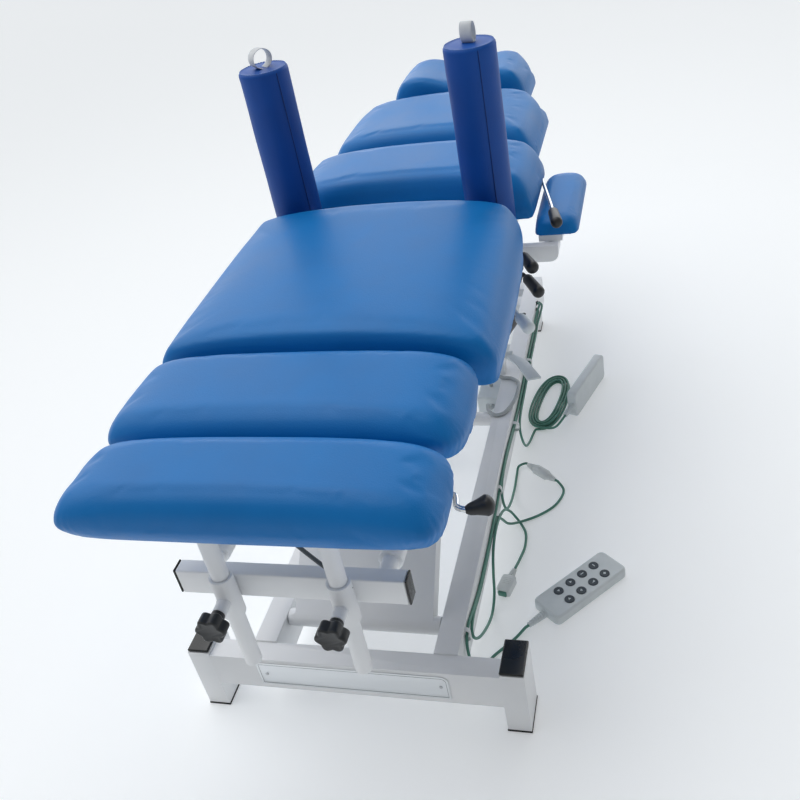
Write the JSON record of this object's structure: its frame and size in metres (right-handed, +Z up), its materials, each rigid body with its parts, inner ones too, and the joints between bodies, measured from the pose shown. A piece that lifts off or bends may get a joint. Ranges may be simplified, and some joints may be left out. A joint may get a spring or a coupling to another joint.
{
  "type": "chiropractic drop table",
  "caption": "Treatment table with a four-bar lift on a steel base, a flexing leg section, drop cushions, a raised head cushion, bolsters, an armrest, release levers and corded handsets.",
  "frame": {"origin": "centre of the front left foot pad's rest face, where the table stands on the floor", "axes": "+X across the table towards the side with the armrest and the levers, +Y along it from the foot end to the head end, +Z up"},
  "size_m": [0.786, 1.908, 1.0001],
  "materials": {
    "blue_vinyl": "satin",
    "dark_blue_vinyl": "satin",
    "white_paint": "satin",
    "grey_plastic": "satin",
    "black_plastic": "satin",
    "black_rubber": "matte",
    "chrome": "polished",
    "brushed_plate": "satin",
    "plywood": "matte",
    "green_cord": "satin",
    "grey_cable": "satin",
    "button_grey": "satin"
  },
  "bodies": {
    "base": {"base_frame": "white_paint", "leg_cap_left": "black_plastic", "leg_cap_right": "black_plastic", "foot_pad_front_left": "black_rubber", "foot_pad_front_right": "black_rubber", "foot_pad_rear_left": "black_rubber", "foot_pad_rear_right": "black_rubber", "name_plate": "brushed_plate", "control_box": "grey_plastic", "motor_cable": "grey_cable", "handset_cord": "green_cord", "hank_lead": "green_cord", "cord_hank": "green_cord", "link_cord": "green_cord", "plug_cord": "green_cord", "plug": "grey_plastic", "inline_connector": "grey_plastic", "handset": "grey_plastic", "spare_handset": "grey_plastic"},
    "pedal": {"foot_pedal": "grey_plastic"},
    "button_1": {"handset_button_1": "button_grey"},
    "button_2": {"handset_button_2": "button_grey"},
    "button_3": {"handset_button_3": "button_grey"},
    "button_4": {"handset_button_4": "button_grey"},
    "button_5": {"handset_button_5": "button_grey"},
    "button_6": {"handset_button_6": "button_grey"},
    "button_7": {"handset_button_7": "button_grey"},
    "button_8": {"handset_button_8": "button_grey"},
    "front_arm": {"lift_arm_front": "white_paint"},
    "rear_arm": {"lift_arm_rear": "white_paint"},
    "actuator": {"actuator_body": "grey_plastic"},
    "screw_rod": {"actuator_rod": "chrome"},
    "top": {"top_frame": "white_paint"},
    "leg_section": {"leg_frame": "white_paint", "calf_cushion": "blue_vinyl"},
    "pelvic_section": {"pelvic_plate": "plywood", "pelvic_cushion": "blue_vinyl"},
    "foot_slide": {"foot_bracket": "white_paint", "bracket_cap_left": "black_plastic", "bracket_cap_right": "black_plastic"},
    "foot_section": {"foot_posts": "white_paint", "foot_cushion": "blue_vinyl"},
    "knob_left": {"star_knob_left": "black_plastic"},
    "knob_right": {"star_knob_right": "black_plastic"},
    "lumbar_section": {"lumbar_plate": "plywood", "lumbar_cushion": "blue_vinyl"},
    "thoracic_section": {"thoracic_plate": "plywood", "thoracic_cushion": "blue_vinyl"},
    "head_section": {"head_plate": "plywood", "head_cushion": "blue_vinyl"},
    "armrest": {"armrest_arm": "white_paint", "armrest_pad": "blue_vinyl"},
    "left_bolster": {"bolster_left": "dark_blue_vinyl"},
    "right_bolster": {"bolster_right": "dark_blue_vinyl"},
    "thoracic_drop_lever": {"thoracic_lever": "chrome"},
    "lumbar_drop_lever": {"lumbar_lever_upper": "black_plastic"},
    "lumbar_tension_lever": {"lumbar_lever_lower": "black_plastic"},
    "pelvic_drop_lever": {"pelvic_release_lever": "grey_plastic"},
    "flexion_lever": {"flexion_lock_lever": "black_plastic"},
    "foot_lever": {"foot_release_lever": "black_plastic"}
  },
  "joints": [
    {"name": "lift", "type": "hinge", "parent": "base", "child": "front_arm", "pos_m": [0.2965, 0.0765, 0.135], "axis": [1, 0, 0], "range_deg": [-14, 22]},
    {"name": "top_level", "type": "hinge", "parent": "front_arm", "child": "top", "pos_m": [0.2965, 0.46294, 0.48295], "axis": [1, 0, 0], "range_deg": [-22.5, 14.5]},
    {"name": "rear_arm_turn", "type": "hinge", "parent": "base", "child": "rear_arm", "pos_m": [0.2965, 0.7115, 0.135], "axis": [1, 0, 0], "range_deg": [-14.5, 22.5]},
    {"name": "actuator_swing", "type": "hinge", "parent": "base", "child": "actuator", "pos_m": [0.2965, 1.2615, 0.2], "axis": [1, 0, 0], "range_deg": [-1, 1]},
    {"name": "actuator_stroke", "type": "slide", "parent": "actuator", "child": "screw_rod", "axis": [0, -0.9996, 0.0272], "range_m": [-0.022, 0.033]},
    {"name": "leg_flexion", "type": "hinge", "parent": "top", "child": "leg_section", "pos_m": [0.2965, 0.7165, 0.565], "axis": [1, 0, 0], "range_deg": [-5, 8]},
    {"name": "pelvic_drop", "type": "hinge", "parent": "leg_section", "child": "pelvic_section", "pos_m": [0.2965, 0.1915, 0.596], "axis": [-1, 0, 0], "range_deg": [0, 1.8]},
    {"name": "foot_extension", "type": "slide", "parent": "leg_section", "child": "foot_slide", "axis": [0, -1, 0], "range_m": [0, 0.15]},
    {"name": "foot_height", "type": "slide", "parent": "foot_slide", "child": "foot_section", "axis": [0, 0, 1], "range_m": [-0.08, 0.06]},
    {"name": "knob_left_turn", "type": "hinge", "parent": "foot_slide", "child": "knob_left", "pos_m": [0.2015, -0.152, 0.447], "axis": [0, 1, 0], "range_deg": [-180, 180]},
    {"name": "knob_right_turn", "type": "hinge", "parent": "foot_slide", "child": "knob_right", "pos_m": [0.3915, -0.152, 0.447], "axis": [0, 1, 0], "range_deg": [-180, 180]},
    {"name": "lumbar_drop", "type": "hinge", "parent": "top", "child": "lumbar_section", "pos_m": [0.2965, 1.0315, 0.596], "axis": [1, 0, 0], "range_deg": [0, 3.4]},
    {"name": "thoracic_drop", "type": "hinge", "parent": "top", "child": "thoracic_section", "pos_m": [0.2965, 1.0815, 0.596], "axis": [-1, 0, 0], "range_deg": [0, 2.6]},
    {"name": "head_tilt", "type": "hinge", "parent": "top", "child": "head_section", "pos_m": [0.2965, 1.4545, 0.618], "axis": [1, 0, 0], "range_deg": [-30, 4]},
    {"name": "armrest_swing", "type": "hinge", "parent": "top", "child": "armrest", "pos_m": [0.6115, 0.7995, 0.543], "axis": [0, 0, -1], "range_deg": [0, 70]},
    {"name": "bolster_left_lift", "type": "slide", "parent": "top", "child": "left_bolster", "axis": [0, 0, 1], "range_m": [0, 0.12]},
    {"name": "bolster_right_lift", "type": "slide", "parent": "top", "child": "right_bolster", "axis": [0, 0, 1], "range_m": [0, 0.12]},
    {"name": "thoracic_lever_turn", "type": "hinge", "parent": "top", "child": "thoracic_drop_lever", "pos_m": [0.5088, 1.0815, 0.508], "axis": [0, 0, 1], "range_deg": [0, 25]},
    {"name": "lumbar_lever_upper_turn", "type": "hinge", "parent": "top", "child": "lumbar_drop_lever", "pos_m": [0.5398, 0.7185, 0.528], "axis": [0, 0, 1], "range_deg": [0, 15]},
    {"name": "lumbar_lever_lower_turn", "type": "hinge", "parent": "top", "child": "lumbar_tension_lever", "pos_m": [0.5015, 0.6795, 0.508], "axis": [1, 0, 0], "range_deg": [0, 15]},
    {"name": "pelvic_lever_turn", "type": "hinge", "parent": "leg_section", "child": "pelvic_drop_lever", "pos_m": [0.4465, 0.5485, 0.565], "axis": [1, 0, 0], "range_deg": [-10, 10]},
    {"name": "flexion_lever_turn", "type": "hinge", "parent": "top", "child": "flexion_lever", "pos_m": [0.5015, 0.6065, 0.508], "axis": [1, 0, 0], "range_deg": [-15, 15]},
    {"name": "foot_lever_turn", "type": "hinge", "parent": "leg_section", "child": "foot_lever", "pos_m": [0.5285, -0.0085, 0.533], "axis": [0, 1, 0], "range_deg": [-15, 15]},
    {"name": "pedal_press", "type": "hinge", "parent": "base", "child": "pedal", "pos_m": [0.4545, 0.8915, 0.2], "axis": [1, 0, 0], "range_deg": [0, 12], "stiffness_Nm_per_rad": 2, "springref_deg": -8.59},
    {"name": "button_1_press", "type": "slide", "parent": "base", "child": "button_1", "axis": [0, 0, -1], "range_m": [0, 0.0015], "stiffness_N_per_m": 300, "springref_m": -0.001},
    {"name": "button_2_press", "type": "slide", "parent": "base", "child": "button_2", "axis": [0, 0, -1], "range_m": [0, 0.0015], "stiffness_N_per_m": 300, "springref_m": -0.001},
    {"name": "button_3_press", "type": "slide", "parent": "base", "child": "button_3", "axis": [0, 0, -1], "range_m": [0, 0.0015], "stiffness_N_per_m": 300, "springref_m": -0.001},
    {"name": "button_4_press", "type": "slide", "parent": "base", "child": "button_4", "axis": [0, 0, -1], "range_m": [0, 0.0015], "stiffness_N_per_m": 300, "springref_m": -0.001},
    {"name": "button_5_press", "type": "slide", "parent": "base", "child": "button_5", "axis": [0, 0, -1], "range_m": [0, 0.0015], "stiffness_N_per_m": 300, "springref_m": -0.001},
    {"name": "button_6_press", "type": "slide", "parent": "base", "child": "button_6", "axis": [0, 0, -1], "range_m": [0, 0.0015], "stiffness_N_per_m": 300, "springref_m": -0.001},
    {"name": "button_7_press", "type": "slide", "parent": "base", "child": "button_7", "axis": [0, 0, -1], "range_m": [0, 0.0015], "stiffness_N_per_m": 300, "springref_m": -0.001},
    {"name": "button_8_press", "type": "slide", "parent": "base", "child": "button_8", "axis": [0, 0, -1], "range_m": [0, 0.0015], "stiffness_N_per_m": 300, "springref_m": -0.001}
  ],
  "couplings": [
    {"joint": "top_level", "follows": "lift", "ratio": -1},
    {"joint": "rear_arm_turn", "follows": "lift", "ratio": 1},
    {"joint": "actuator_swing", "follows": "lift", "ratio": 0.0041},
    {"joint": "actuator_stroke", "follows": "lift", "m_per_rad": 0.0787}
  ]
}
